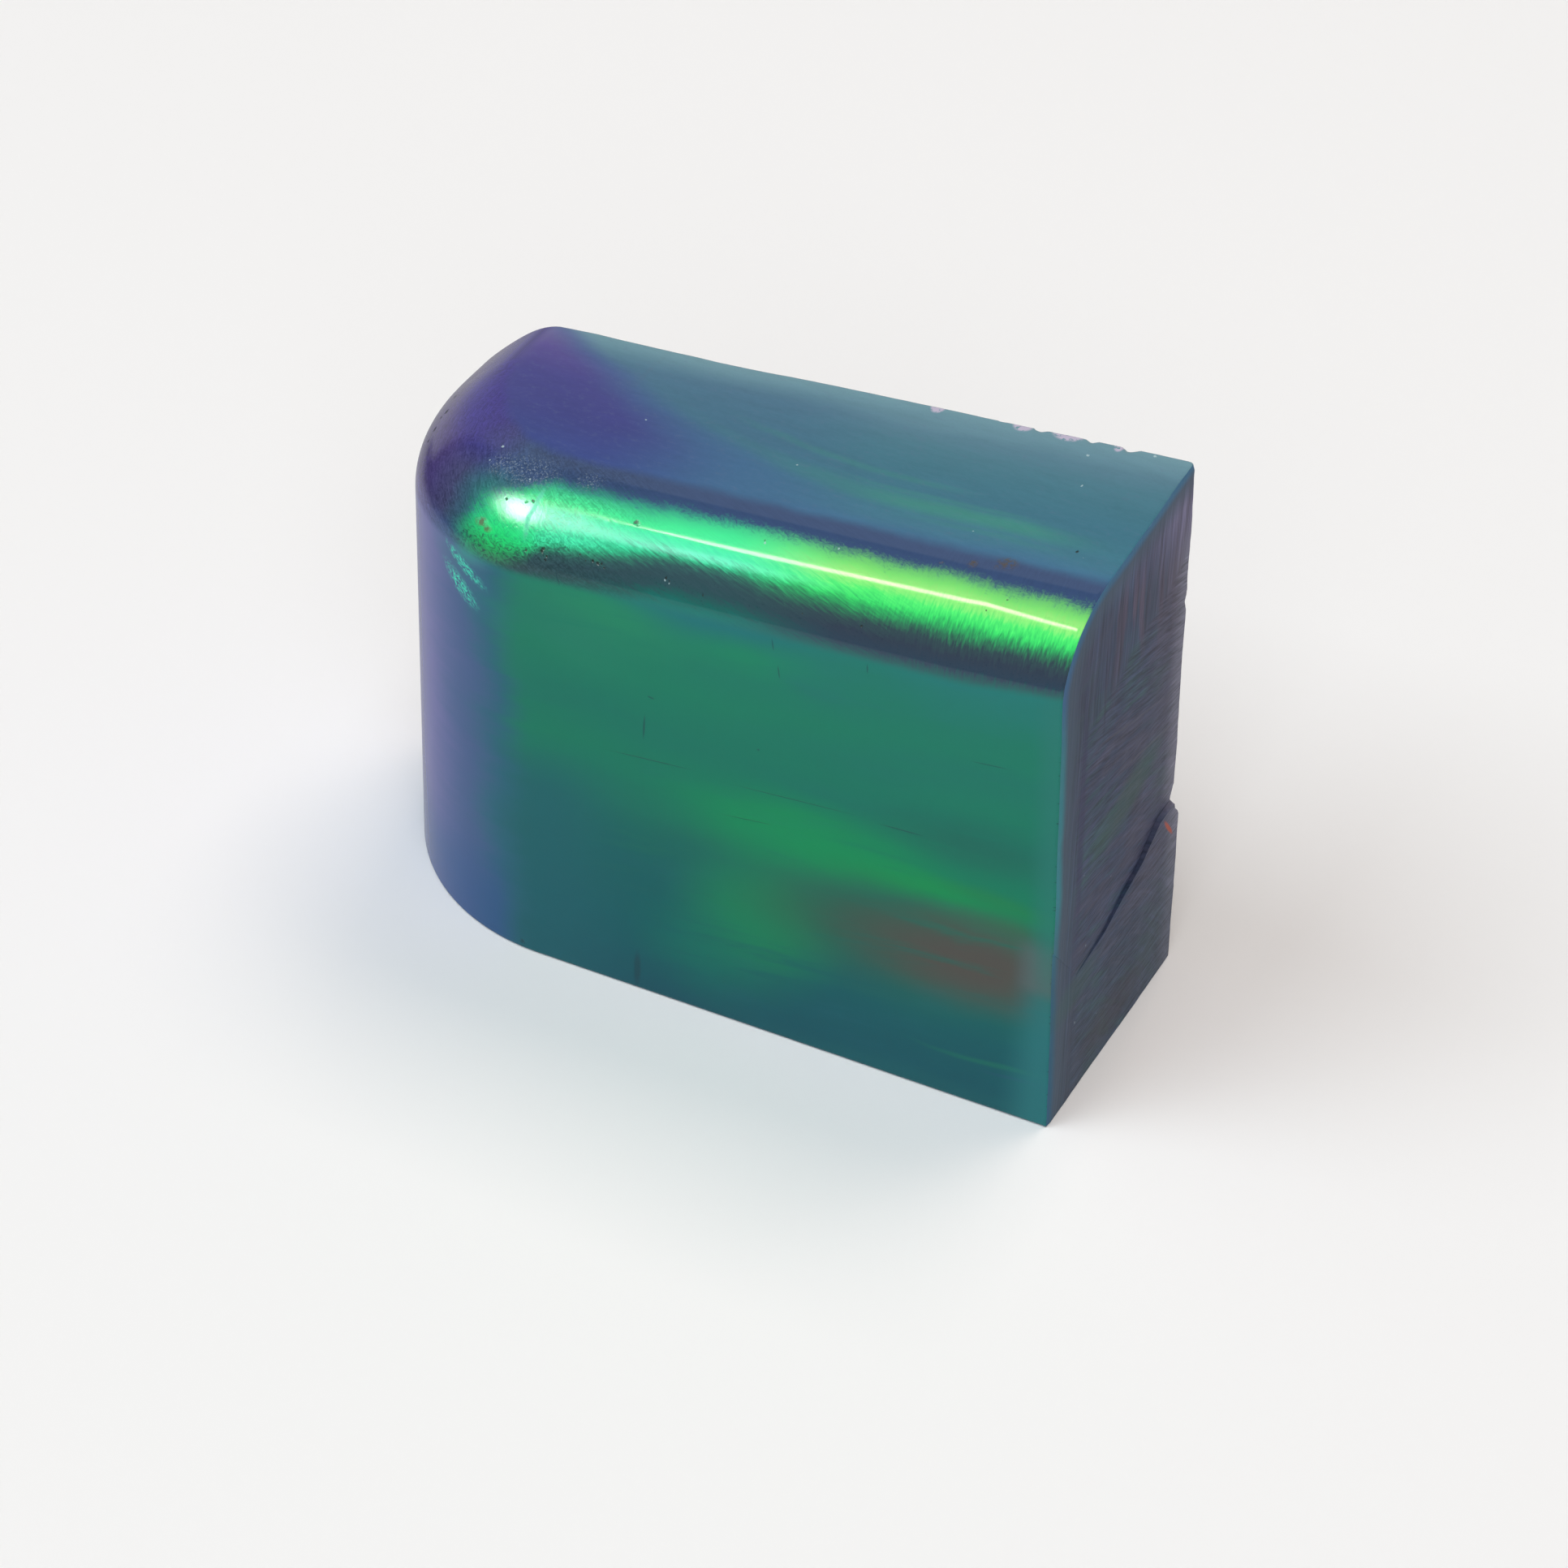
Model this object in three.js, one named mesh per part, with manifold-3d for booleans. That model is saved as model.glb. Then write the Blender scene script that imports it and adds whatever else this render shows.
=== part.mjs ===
// A block of green opal: the corner of a thick rounded brick, polished outside, sawn on three sides.
// Millimetres, +Z up. The block rests on its sawn bottom, with its polished face towards -Y,
// its rounded end at -X and its sawn end at +X. The sawn back is at +Y.
import * as THREE from 'three';
import { mergeVertices } from 'three/addons/utils/BufferGeometryUtils.js';
import Module from 'manifold-3d';

const wasm = await Module();
wasm.setup();

// Driving dimensions of the block
const length = 36.8;          // from the rounded end to the sawn end
const thickness = 13.2;       // from the polished face to the sawn back
const height = 29.5;          // at the sawn end
const topDrop = 3.7;          // how much lower the top is at the rounded end
const endDip = 1.1;           // what the top falls further over its last stretch
const dipStart = 0.8;         // where that stretch starts, as a part of the length
const cornerRadius = 10.4;    // upright corner between polished face and rounded end, in plan
const endTurn = THREE.MathUtils.degToRad(7);      // the rounded end falls back towards the rear
const endLean = 0.5;          // the rounded end leans in by this at the top
const rimRadius = 4.7;        // rounding between the walls and the top
const topSag = 0.45;         // how much lower the top is behind its rim, at the sawn end
const allowance = 6;          // how far the brick ran on past each saw cut

// The sawn end was cut in two passes, in slightly different planes, that met along a crooked seam.
// Each stands this far out at the polished face and at the sawn back, at its foot and at its head.
const passAbove = { front: [0, 0], back: [-0.02, 0.2], foot: 9.9, head: height };
const passBelow = { front: [-0.1, -0.1], back: [0.12, 0.3], foot: 0, head: 9.9 };
const overrun = 0.02;         // each pass ran past the seam by this, so that no fin stands between them
const seam = [
  { depth: 0, height: 10.8 },
  { depth: 2.6, height: 7.4 },
  { depth: 5.3, height: 7.7 },
  { depth: 9.2, height: 8.9 },
  { depth: 11.2, height: 10 },
  { depth: thickness, height: 9.9 },
];

// Bites out of the edge between the top and the sawn back, measured from the sawn end
const edgeChips = [
  { along: 0.9, radius: 1.7, bite: 0.12 },
  { along: 3.3, radius: 1.1, bite: 0.3 },
  { along: 4.9, radius: 3.2, bite: 0.13 },
  { along: 7.7, radius: 1.1, bite: 0.34 },
  { along: 9.3, radius: 2.6, bite: 0.16 },
  { along: 12.3, radius: 1.5, bite: 0.26 },
  { along: 14.6, radius: 1.2, bite: 0.16 },
  { along: 18.3, radius: 1.4, bite: 0.15 },
  { along: 21.9, radius: 1.2, bite: 0.14 },
];

// Bites out of the upright edge between the sawn end and the sawn back
const uprightChips = [
  { up: 21.6, radius: 0.7, bite: 0.16 },
  { up: 9.9, radius: 0.9, bite: 0.3 },
];

const right = length / 2;
const front = -thickness / 2;
const back = thickness / 2;

function toSolid(geometry) {
  const bare = geometry.clone();
  bare.deleteAttribute('normal');
  bare.deleteAttribute('uv');
  const merged = mergeVertices(bare, 1e-4);
  const vertProperties = new Float32Array(merged.attributes.position.array);
  const triVerts = new Uint32Array(merged.index.array);
  return new wasm.Manifold(new wasm.Mesh({ numProp: 3, vertProperties, triVerts }));
}

function toGeometry(solid) {
  const mesh = solid.getMesh();
  const geometry = new THREE.BufferGeometry();
  geometry.setAttribute('position', new THREE.BufferAttribute(new Float32Array(mesh.vertProperties), 3));
  geometry.setIndex(new THREE.BufferAttribute(new Uint32Array(mesh.triVerts), 1));
  return geometry;
}

function boxBetween(low, high) {
  const size = new THREE.Vector3().subVectors(high, low);
  const middle = new THREE.Vector3().addVectors(high, low).multiplyScalar(0.5);
  const box = new THREE.BoxGeometry(size.x, size.y, size.z);
  box.translate(middle.x, middle.y, middle.z);
  return toSolid(box);
}

// Plan of the brick: the polished face, the round upright corner and the end that falls back
function brickPlan() {
  const centreX = -right + cornerRadius;
  const centreY = front + cornerRadius;
  const lastAngle = Math.PI - endTurn;
  const rear = back + allowance;
  const turnX = centreX + cornerRadius * Math.cos(lastAngle);
  const turnY = centreY + cornerRadius * Math.sin(lastAngle);
  const plan = new THREE.Shape();
  plan.moveTo(right + allowance, rear);
  plan.lineTo(turnX + (rear - turnY) * Math.tan(endTurn), rear);
  plan.lineTo(turnX, turnY);
  plan.absarc(centreX, centreY, cornerRadius, lastAngle, Math.PI * 1.5, false);
  plan.lineTo(right + allowance, front);
  plan.closePath();
  return plan;
}

// How far the top has fallen at a place along the block, from 0 at the sawn end to 1
function topFall(towardsEnd) {
  const lastStretch = Math.max(0, (towardsEnd - dipStart) / (1 - dipStart));
  return topDrop * towardsEnd + endDip * lastStretch ** 2;
}

// How much lower the top lies at its front than at the back, most at the sawn end
function sag(towardsEnd, depth, z) {
  const overRim = THREE.MathUtils.clamp((z - height + rimRadius) / rimRadius, 0, 1) ** 2;
  const forward = Math.min(1, (thickness - depth) / (thickness - rimRadius));
  return topSag * overRim * forward * (1 - towardsEnd);
}

// How far a pass of the saw stands out at a place on the end
function standsOut(pass, depth, z) {
  const level = (z - pass.foot) / (pass.head - pass.foot);
  const atFront = THREE.MathUtils.lerp(pass.front[0], pass.front[1], level);
  const atBack = THREE.MathUtils.lerp(pass.back[0], pass.back[1], level);
  return THREE.MathUtils.lerp(atFront, atBack, depth / thickness);
}

// The brick before sawing, with its rounded rim; its top then falls and its end leans in
function polishedBrick() {
  const brick = new THREE.ExtrudeGeometry(brickPlan(), {
    depth: height - rimRadius + allowance,
    curveSegments: 36,
    bevelEnabled: true,
    bevelSize: rimRadius,
    bevelThickness: rimRadius,
    bevelOffset: -rimRadius,
    bevelSegments: 14,
  });
  brick.translate(0, 0, -allowance);
  const place = brick.attributes.position;
  for (let i = 0; i < place.count; i += 1) {
    const towardsEnd = (right - place.getX(i)) / length;
    const level = place.getZ(i) / height;
    const lower = topFall(towardsEnd) * level + sag(towardsEnd, place.getY(i) - front, place.getZ(i));
    place.setX(i, place.getX(i) + endLean * towardsEnd * level);
    place.setZ(i, place.getZ(i) - lower);
  }
  return toSolid(brick);
}

// What one pass of the saw took off the end: everything beyond its plane, on one side of the seam
function endPass(sideHeight, pass) {
  const past = sideHeight > seam[0].height ? -overrun : overrun;
  const outline = new THREE.Shape();
  outline.moveTo(-allowance, sideHeight);
  outline.lineTo(-allowance, seam[0].height + past);
  for (const point of seam) {
    outline.lineTo(point.depth, point.height + past);
  }
  outline.lineTo(thickness + allowance, seam[seam.length - 1].height + past);
  outline.lineTo(thickness + allowance, sideHeight);
  outline.closePath();
  const offcut = new THREE.ExtrudeGeometry(outline, { depth: allowance * 2, bevelEnabled: false });
  offcut.rotateX(Math.PI / 2);
  offcut.rotateZ(Math.PI / 2);
  const place = offcut.attributes.position;
  for (let i = 0; i < place.count; i += 1) {
    if (place.getX(i) < allowance) {
      place.setX(i, standsOut(pass, place.getY(i), place.getZ(i)));
    }
  }
  offcut.translate(right, front, 0);
  return toSolid(offcut);
}

// A ball that bites an edge to a given depth, seen along that edge
function biteOut(edgePoint, outward, chip) {
  const ball = new THREE.SphereGeometry(chip.radius, 18, 12);
  const centre = outward.clone().normalize().multiplyScalar(chip.radius - chip.bite).add(edgePoint);
  ball.translate(centre.x, centre.y, centre.z);
  return toSolid(ball);
}

function opalBlock() {
  const reach = length * 2;
  const belowBase = boxBetween(
    new THREE.Vector3(-reach, -reach, -reach),
    new THREE.Vector3(reach, reach, 0),
  );
  const behindBack = boxBetween(
    new THREE.Vector3(-reach, back, -reach),
    new THREE.Vector3(reach, reach, reach),
  );
  let block = polishedBrick().subtract(belowBase).subtract(behindBack);
  block = block.subtract(endPass(height + allowance, passAbove));
  block = block.subtract(endPass(-allowance, passBelow));
  for (const chip of edgeChips) {
    const edgePoint = new THREE.Vector3(right - chip.along, back, height - topFall(chip.along / length));
    block = block.subtract(biteOut(edgePoint, new THREE.Vector3(0.1, 0.6, 0.8), chip));
  }
  for (const chip of uprightChips) {
    const edgePoint = new THREE.Vector3(right + standsOut(passAbove, thickness, chip.up), back, chip.up);
    block = block.subtract(biteOut(edgePoint, new THREE.Vector3(1, 0.7, 0.1), chip));
  }
  return toGeometry(block);
}

const opal = new THREE.Mesh(
  opalBlock(),
  new THREE.MeshStandardMaterial({ color: 0x2c7c6c, roughness: 0.16, metalness: 0 }),
);
opal.name = 'opal_block';

// Stand the block with the middle of its outer box over the origin
opal.geometry.computeBoundingBox();
const box = opal.geometry.boundingBox;
opal.position.set(-(box.min.x + box.max.x) / 2, -(box.min.y + box.max.y) / 2, -box.min.z);

const group = new THREE.Group();
group.add(opal);

export default group;
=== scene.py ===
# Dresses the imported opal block: its fine shape, the colours in the stone, the saw marks, and a plain studio.
import math

import bpy
import numpy as np
from mathutils import Matrix, Vector, noise


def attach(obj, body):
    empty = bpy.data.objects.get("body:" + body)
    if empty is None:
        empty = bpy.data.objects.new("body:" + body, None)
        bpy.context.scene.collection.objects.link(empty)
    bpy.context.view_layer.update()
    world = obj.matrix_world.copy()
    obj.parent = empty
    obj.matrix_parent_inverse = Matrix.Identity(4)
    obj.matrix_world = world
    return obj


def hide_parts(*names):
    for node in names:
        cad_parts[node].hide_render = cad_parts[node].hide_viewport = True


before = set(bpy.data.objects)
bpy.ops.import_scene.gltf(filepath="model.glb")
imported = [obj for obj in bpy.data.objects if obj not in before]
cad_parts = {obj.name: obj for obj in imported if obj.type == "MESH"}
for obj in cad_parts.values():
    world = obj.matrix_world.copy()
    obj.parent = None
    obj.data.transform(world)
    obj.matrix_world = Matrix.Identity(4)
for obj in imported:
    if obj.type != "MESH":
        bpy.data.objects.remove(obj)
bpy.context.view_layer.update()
mm = 0.001
scene = bpy.context.scene
scene.view_settings.view_transform = "Standard"


# Shape of the stone, in millimetres

stone = {
    "length": 36.8,  # rounded end to sawn end
    "thickness": 13.2,  # polished face to sawn back
    "height": 29.5,  # at the sawn end
    "topDrop": 3.7,  # how much lower the top is at the rounded end
    "endDip": 1.1,  # what the top falls further over its last stretch
    "dipStart": 0.8,  # where that stretch starts, as a part of the length
    "topSag": 0.45,  # how much lower the top is behind its rim, at the sawn end
    "middleSag": 0.11,  # a shallow dip along the back of the top
    "middleSagAt": 0.63,  # where it is deepest, as a part of the length
    "middleSagSpread": 0.13,  # and how far it spreads
    "cornerRadius": 10.4,  # upright corner between the polished face and the rounded end
    "endTurn": math.radians(7),
    "endLean": 0.5,
    "rimRadius": 4.7,
    "sawnEdge": 0.16,  # rounding where polished skin meets a saw cut
    "crispEdge": 0.05,  # rounding between two saw cuts
    "sawWander": 0.035,  # unevenness of the saw cuts
    "sawReach": 1.5,  # how far in from a cut its unevenness moves the skin
    "brokenCorner": 0.2,  # what is worn off the corner between top, back and sawn end
    "endFlat": 0.24,  # how much flatter than round the rim is at the rounded end
    "endFlatFrom": 55,  # degrees round the corner where that begins
}
# Spacing of the mesh lines
spacing = {"along": 0.25, "nearEnd": 0.13, "across": 0.26, "up": 0.32, "nearEndLength": 12}

# The two passes of the saw across the end: how far each stands out at the front and at the back,
# at its foot and at its head, and the crooked seam where they meet
sawPasses = {
    "above": {"front": (0.0, 0.0), "back": (-0.02, 0.2), "foot": 9.9, "head": 29.5},
    "below": {"front": (-0.06, -0.06), "back": (0.12, 0.3), "foot": 0.0, "head": 9.9},
}
sawSeam = ((0, 10.8), (2.6, 7.4), (5.3, 7.7), (9.2, 8.9), (11.2, 10.0), (13.2, 9.9))
seamLine = 9.0  # the seam's height on the plain box, before it is bent
seamGap = 0.012  # half the height of the step's face there
seamReach = 5  # how far in from the end the mesh lines bend along with it

# How much has broken away along the edge between top and back, by distance from the sawn end
edgeLoss = (
    (0.0, 0.02), (0.9, 0.03), (1.9, 0.0), (2.3, 0.05), (2.7, 0.2), (3.0, 0.27), (3.3, 0.12), (3.45, 0.0),
    (4.1, 0.01), (4.45, 0.12), (4.75, 0.24), (5.05, 0.12), (5.2, 0.0), (6.3, 0.01), (6.95, 0.1),
    (7.25, 0.2), (7.5, 0.17), (7.7, 0.02), (8.5, 0.01), (8.85, 0.09), (9.25, 0.13), (9.45, 0.03),
    (10.0, 0.0), (10.25, 0.07), (10.4, 0.01), (10.75, 0.05), (11.0, 0.0), (12.8, 0.01), (13.05, 0.06),
    (13.25, 0.01), (14.0, 0.0), (14.25, 0.06), (14.45, 0.01), (17.6, 0.0), (17.8, 0.05), (18.0, 0.0),
    (20.9, 0.0), (21.1, 0.05), (21.4, 0.0), (23.4, 0.01), (23.75, 0.09), (24.0, 0.0), (27.0, 0.0),
    (27.2, 0.04), (27.4, 0.0), (36.8, 0.0),
)
# Bites out of the upright edge between the sawn end and the back: height, ball radius, depth of the bite
uprightChips = ((21.6, 0.7, 0.16), (9.9, 0.9, 0.30))

right = stone["length"] / 2
front = -stone["thickness"] / 2
back = stone["thickness"] / 2
coreX = -right + stone["cornerRadius"]
coreY = front + stone["cornerRadius"]
sideShift = -0.166  # puts the middle of the outer box over the origin
endX = right + sideShift  # the sawn end, in the part's own frame


def gridLines(low, high, step, nearLow, nearHigh):
    # even lines over the middle, with closer lines at given distances from both ends
    start = low + nearLow[-1]
    stop = high - nearHigh[-1]
    count = max(1, round((stop - start) / step))
    middle = [start + (stop - start) * i / count for i in range(count + 1)]
    return np.array([low + d for d in nearLow[:-1]] + middle + [high - d for d in reversed(nearHigh[:-1])])


def sideGrid(axis, value, linesA, linesB, outward):
    # one side of a box as points and four-cornered faces
    a, b = np.meshgrid(linesA, linesB, indexing="ij")
    points = np.zeros((a.size, 3))
    others = [i for i in range(3) if i != axis]
    points[:, others[0]] = a.ravel()
    points[:, others[1]] = b.ravel()
    points[:, axis] = value
    rows, columns = a.shape
    index = np.arange(a.size).reshape(rows, columns)
    quads = np.stack([index[:-1, :-1], index[1:, :-1], index[1:, 1:], index[:-1, 1:]], -1).reshape(-1, 4)
    turned = outward if axis != 1 else -outward
    return points, quads if turned > 0 else quads[:, ::-1]


def topFall(towardsEnd):
    lastStretch = np.maximum(0, (towardsEnd - stone["dipStart"]) / (1 - stone["dipStart"]))
    return stone["topDrop"] * towardsEnd + stone["endDip"] * lastStretch ** 2


def middleDip(towardsEnd):
    return stone["middleSag"] * np.exp(-((towardsEnd - stone["middleSagAt"]) / stone["middleSagSpread"]) ** 2)


def roundCorner(inA, inB, radius):
    # how far two faces draw in where they meet in a rounding
    p = np.maximum(0, radius - inA)
    q = np.maximum(0, radius - inB)
    both = np.hypot(p, q)
    share = np.where(both > 0, np.maximum(p, q) / np.maximum(both, 1e-9), 1)
    return p * (1 - share), q * (1 - share)


def seamHeight(depth):
    return np.interp(depth, [s[0] for s in sawSeam], [s[1] for s in sawSeam])


def standsOut(name, depth, z):
    # how far a pass of the saw stands out at a place on the end
    about = sawPasses[name]
    level = np.clip((z - about["foot"]) / (about["head"] - about["foot"]), 0, 1)
    atFront = about["front"][0] + (about["front"][1] - about["front"][0]) * level
    atBack = about["back"][0] + (about["back"][1] - about["back"][0]) * level
    return atFront + (atBack - atFront) * depth / stone["thickness"]


def sag(towardsEnd, depth, z):
    # how much lower the top lies at its front than at the back, most at the sawn end
    rim = stone["rimRadius"]
    overRim = np.clip((z - stone["height"] + rim) / rim, 0, 1) ** 2
    forward = np.minimum(1, (stone["thickness"] - depth) / (stone["thickness"] - rim))
    behind = np.clip((depth - rim) / (stone["thickness"] - rim), 0, 1) ** 2
    return overRim * (stone["topSag"] * forward * (1 - towardsEnd) + middleDip(towardsEnd) * behind)


def shapeStone(box):
    # takes points on a plain box to their places on the stone, with what the finishes need to know
    x, y, z = box[:, 0].copy(), box[:, 1].copy(), box[:, 2].copy()
    height = stone["height"]
    rim = stone["rimRadius"]
    wallDepth = np.minimum(x + right, y - front)
    topDepth = height - z
    skin = np.minimum(wallDepth, topDepth)
    drawn = np.zeros(len(x))
    onEnd = x > right - 1e-6
    cuts = ((right - x, 0, -1), (back - y, 1, -1), (z, 2, 1))
    place = [x, y, z]
    for distance, axis, way in cuts:
        into, across = roundCorner(skin, distance, stone["sawnEdge"])
        drawn = np.maximum(drawn, into)
        place[axis] = place[axis] + way * across
    for first, second in ((0, 1), (0, 2), (1, 2)):
        into, across = roundCorner(cuts[first][0], cuts[second][0], stone["crispEdge"])
        place[cuts[first][1]] = place[cuts[first][1]] + cuts[first][2] * into
        place[cuts[second][1]] = place[cuts[second][1]] + cuts[second][2] * across
    x, y, z = place

    # the rounded rim between the walls and the top
    p = np.maximum(0, rim - wallDepth)
    q = np.maximum(0, rim - topDepth)
    both = np.maximum(np.hypot(p, q), 1e-9)
    reach = np.maximum(p, q) - drawn
    newWallDepth = np.where(p > 0, rim - p / both * reach, wallDepth)
    newTopDepth = np.where(q > 0, rim - q / both * reach, topDepth)
    rimAngle = np.degrees(np.arctan2(q, p))
    z = z - (newTopDepth - topDepth)

    # at the rounded end the rim is more of a slope than a round
    fromFront = np.degrees(np.arctan2(np.maximum(0, coreX - box[:, 0]), np.maximum(0, coreY - box[:, 1])))
    begin = stone["endFlatFrom"]
    flat = stone["endFlat"] * np.clip((fromFront - begin) / (90 - begin), 0, 1) ** 2
    flat = flat * np.cos(np.radians(4 * (rimAngle - 50)))
    flat = flat * np.exp(-np.maximum(0, wallDepth - rim) / 1.5) * np.clip((box[:, 2] - 20) / 5, 0, 1)
    newWallDepth = newWallDepth + flat * 0.7
    z = z - flat * 0.7

    # the upright corner in plan
    a = np.maximum(0, coreX - box[:, 0])
    c = np.maximum(0, coreY - box[:, 1])
    far = np.maximum(np.hypot(a, c), 1e-9)
    outer = stone["cornerRadius"] - newWallDepth
    turn = np.degrees(np.arctan2(a, c))
    x = np.where(a > 0, coreX - a / far * outer, x)
    y = np.where(c > 0, coreY - c / far * outer, y)

    # the rounded end turns back towards the rear
    radius = stone["cornerRadius"]
    past = np.maximum(0, y - coreY)
    bend = radius * math.sin(stone["endTurn"])
    onArc = radius - np.sqrt(np.maximum(0, radius ** 2 - np.minimum(past, bend) ** 2))
    shift = onArc + np.maximum(0, past - bend) * math.tan(stone["endTurn"])
    x = x + shift * np.clip((right - x) / (stone["length"] - rim), 0, 1) ** 0.5

    # the top falls and the end leans in
    towardsEnd = (right - x) / stone["length"]
    level = z / height
    x = x + stone["endLean"] * towardsEnd * level
    z = z - topFall(towardsEnd) * level - sag(towardsEnd, y - front, z)

    # the two passes across the sawn end
    depth = np.clip(y - front, 0, stone["thickness"])
    unbent = z * sawPasses["below"]["head"] / seamLine
    step = np.where(box[:, 2] > seamLine, standsOut("above", depth, z), standsOut("below", depth, unbent))
    nearEnd = np.clip(1 - (right - x) / stone["sawReach"], 0, 1) ** 2
    x = x + step * np.where(onEnd, 1, nearEnd)
    return np.stack([x, y, z], 1), rimAngle, turn, skin


def warpSeam(points):
    # bends the lines of the box so that one pair of them runs along the seam on the sawn end
    z = points[:, 2]
    below = z / seamLine
    above = (stone["height"] - z) / (stone["height"] - seamLine)
    near = np.clip(1 - (right - points[:, 0]) / seamReach, 0, 1)
    rise = (seamHeight(points[:, 1] - front) - seamLine) * np.minimum(below, above) * near
    points[:, 2] = z + rise


def unevenness(points, scale, seed):
    offset = Vector((seed, seed * 1.7, seed * 0.3))
    return np.array([noise.noise(Vector(p) * scale + offset) for p in points])


def wanderSaw(points):
    # the saw cuts aren't quite flat
    wander = unevenness(points, 0.35, 3.0) + 0.4 * unevenness(points, 1.6, 7.0)
    nearEnd = np.clip(1 - (right - points[:, 0]) / stone["sawReach"], 0, 1)
    nearBack = np.clip(1 - (back - points[:, 1]) / stone["sawReach"], 0, 1)
    points[:, 0] += stone["sawWander"] * wander * nearEnd ** 2
    points[:, 1] += stone["sawWander"] * (wander - 1) * nearBack ** 2


def chipStone(points):
    # breaks small pieces off the edges that the saw left sharp
    along = right - points[:, 0]
    topAt = stone["height"] - topFall(along / stone["length"]) - middleDip(along / stone["length"])
    crumbs = 0.03 * unevenness(points, 2.6, 11.0)
    loss = np.interp(along, [e[0] for e in edgeLoss], [e[1] for e in edgeLoss])
    loss = loss * (1 + crumbs * 6) + crumbs * 0.4
    cut = np.maximum(0, loss - 0.6 * (back - points[:, 1]) - 0.8 * (topAt - points[:, 2]))
    points[:, 1] -= 0.6 * cut
    points[:, 2] -= 0.8 * cut
    broken = cut
    cut = np.maximum(0, 0.05 + crumbs * 1.6 - 0.7 * (back - points[:, 1]) - 0.7 * points[:, 2])
    points[:, 1] -= 0.7 * cut
    points[:, 2] += 0.7 * cut
    broken = np.maximum(broken, cut)
    endAt = right + standsOut("above", stone["thickness"], stone["height"])
    inCorner = (endAt - points[:, 0] + back - points[:, 1] + topAt - points[:, 2]) / math.sqrt(3)
    points -= (0.8 * np.maximum(0, stone["brokenCorner"] - inCorner) / math.sqrt(3))[:, None]
    for up, radius, bite in uprightChips:
        edge = np.array([right + standsOut("above", stone["thickness"], up), back, up])
        outward = np.array([1, 0.7, 0.1])
        centre = edge + outward / np.linalg.norm(outward) * (radius - bite)
        away = points - centre
        far = np.linalg.norm(away, axis=1)
        inside = far < radius
        broken[inside] = np.maximum(broken[inside], radius - far[inside])
        points[inside] = centre + away[inside] / far[inside][:, None] * radius
    return broken


def boxSides():
    # the six sides of the plain box: axis, value, lines both ways, outward, and which finish they get
    edge = stone["sawnEdge"]
    crisp = stone["crispEdge"]
    rim = stone["rimRadius"]
    cut = [0, crisp * 0.5, crisp, edge * 0.45, edge * 0.7, edge, edge * 1.8]
    rimSteps = [0] + [rim * (1 - math.tan(math.radians(45 - 45 * i / 15))) for i in range(1, 16)]
    seamSteps = [0, 0.03, 0.08, 0.2]
    finer = right - spacing["nearEndLength"]
    xLines = gridLines(-right, finer, spacing["along"], rimSteps, [0, spacing["along"]])
    xEnd = gridLines(finer, right, spacing["nearEnd"], [0, spacing["nearEnd"]], cut)
    xLines = np.concatenate([xLines[:-1], xEnd])
    yLines = gridLines(front, back, spacing["across"], rimSteps, cut + [0.45, 0.6, 0.8, 1.0])
    zLow = gridLines(0, seamLine - seamGap, spacing["up"], cut, seamSteps)
    zHigh = gridLines(seamLine + seamGap, stone["height"], spacing["up"], seamSteps, rimSteps)
    zLines = np.concatenate([zLow, zHigh])
    return (
        (0, -right, yLines, zLines, -1, 0), (1, front, xLines, zLines, -1, 0),
        (2, stone["height"], xLines, yLines, 1, 0), (0, right, yLines, zLines, 1, 1),
        (1, back, xLines, zLines, 1, 2), (2, 0, xLines, yLines, -1, 3),
    )


def plainBox():
    # the box as joined points, four-cornered faces, and the finish of each face
    points, quads, finishes = [], [], []
    count = 0
    for axis, value, linesA, linesB, outward, finish in boxSides():
        sidePoints, sideQuads = sideGrid(axis, value, linesA, linesB, outward)
        points.append(sidePoints)
        quads.append(sideQuads + count)
        finishes.append(np.full(len(sideQuads), finish))
        count += len(sidePoints)
    points = np.concatenate(points)
    rounded = np.round(points * 1e5).astype(np.int64)
    first, inverse = np.unique(rounded, axis=0, return_index=True, return_inverse=True)[1:]
    return points[first], inverse.reshape(-1)[np.concatenate(quads)], np.concatenate(finishes)


def buildStone():
    box, quads, finishes = plainBox()
    place, rimAngle, turn, skinDepth = shapeStone(box)
    warpSeam(place)
    wanderSaw(place)
    chipDepth = chipStone(place)
    seamRise = place[:, 2] - seamHeight(place[:, 1] - front)
    mesh = bpy.data.meshes.new("opal_stone")
    mesh.vertices.add(len(place))
    mesh.vertices.foreach_set("co", ((place + [sideShift, 0, 0]) * mm).astype(np.float32).ravel())
    mesh.loops.add(quads.size)
    mesh.loops.foreach_set("vertex_index", quads.astype(np.int32).ravel())
    mesh.polygons.add(len(quads))
    mesh.polygons.foreach_set("loop_start", np.arange(0, quads.size, 4, dtype=np.int32))
    mesh.polygons.foreach_set("material_index", finishes.astype(np.int32))
    mesh.update(calc_edges=True)
    mesh.validate()
    mesh.polygons.foreach_set("use_smooth", np.ones(len(quads), bool))
    known = {"rimAngle": rimAngle, "turn": turn, "skinDepth": skinDepth, "chip": chipDepth,
             "seamRise": seamRise}
    for name, values in known.items():
        mesh.attributes.new(name, "FLOAT", "POINT").data.foreach_set("value", values.astype(np.float32))
    mesh.set_sharp_from_angle(angle=math.radians(32))
    print("stone mesh:", len(place), "points,", len(quads) * 2, "triangles")
    return mesh


mesh = buildStone()
opal = bpy.data.objects.new("opal_stone", mesh)
scene.collection.objects.link(opal)


# Finishes

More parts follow.
